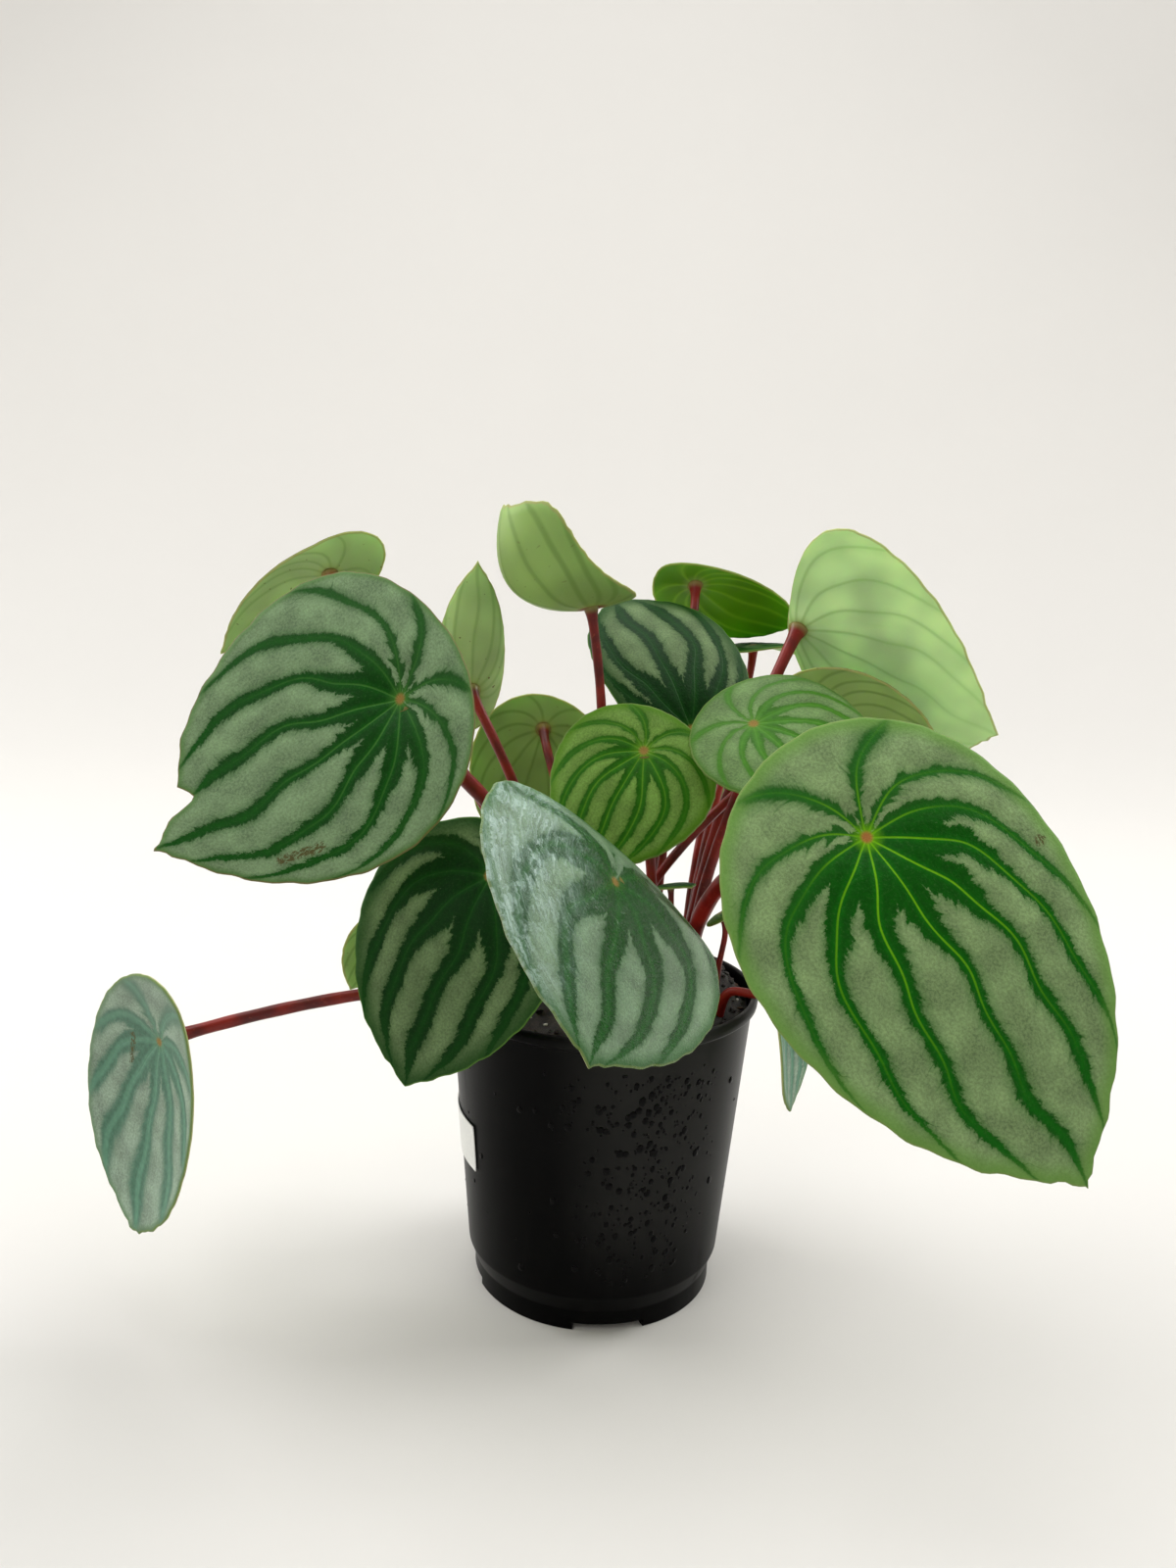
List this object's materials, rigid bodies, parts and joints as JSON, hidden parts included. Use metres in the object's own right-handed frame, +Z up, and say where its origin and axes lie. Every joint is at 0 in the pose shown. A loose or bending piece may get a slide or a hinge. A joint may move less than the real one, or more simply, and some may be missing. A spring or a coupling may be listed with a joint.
{
  "type": "potted watermelon peperomia",
  "caption": "Small house plant with thick, pointed, striped leaves on red stalks, rooted in mounded soil in a thin round nursery pot.",
  "frame": {"origin": "the middle of the pot's underside, on the surface that the pot stands on", "axes": "+Z up along the pot's axis, -Y towards the plant's front, +X to the right of a viewer who faces the front"},
  "size_m": [0.2917, 0.2207, 0.2624],
  "materials": {
    "leaf": "fleshy leaf, satin, dark green bands on silver green above, plain pale green below",
    "stalk": "smooth fleshy red leaf stalk, slightly glossy",
    "pot": "thin black nursery pot, glossy, with water droplets",
    "label": "bare white matt paper",
    "soil": "dark moist crumbly potting mix with white grains",
    "crown": "rough brown woody stump"
  },
  "bodies": {
    "root": {"leaf_left_large": "leaf", "stalk_left_large": "stalk", "leaf_left_back": "leaf", "stalk_left_back": "stalk", "leaf_left_folded": "leaf", "stalk_left_folded": "stalk", "leaf_back_left": "leaf", "stalk_back_left": "stalk", "leaf_top": "leaf", "stalk_top": "stalk", "leaf_centre_back": "leaf", "stalk_centre_back": "stalk", "leaf_back_bright": "leaf", "stalk_back_bright": "stalk", "leaf_centre_round": "leaf", "stalk_centre_round": "stalk", "leaf_centre_right": "leaf", "stalk_centre_right": "stalk", "leaf_front": "leaf", "stalk_front": "stalk", "leaf_front_left": "leaf", "stalk_front_left": "stalk", "leaf_far_left": "leaf", "stalk_far_left": "stalk", "leaf_left_low_back": "leaf", "stalk_left_low_back": "stalk", "leaf_right_large": "leaf", "stalk_right_large": "stalk", "leaf_right_tall": "leaf", "stalk_right_tall": "stalk", "leaf_right_back": "leaf", "stalk_right_back": "stalk", "leaf_right_low": "leaf", "stalk_right_low": "stalk", "leaf_centre_low_back": "leaf", "stalk_centre_low_back": "stalk", "leaf_back_right_edge": "leaf", "stalk_back_right_edge": "stalk", "leaf_young_front": "leaf", "stalk_young_front": "stalk", "leaf_young_back": "leaf", "stalk_young_back": "stalk", "pot": "pot", "label": "label", "soil": "soil", "crown_left": "crown", "crown_right": "crown"}
  },
  "joints": []
}
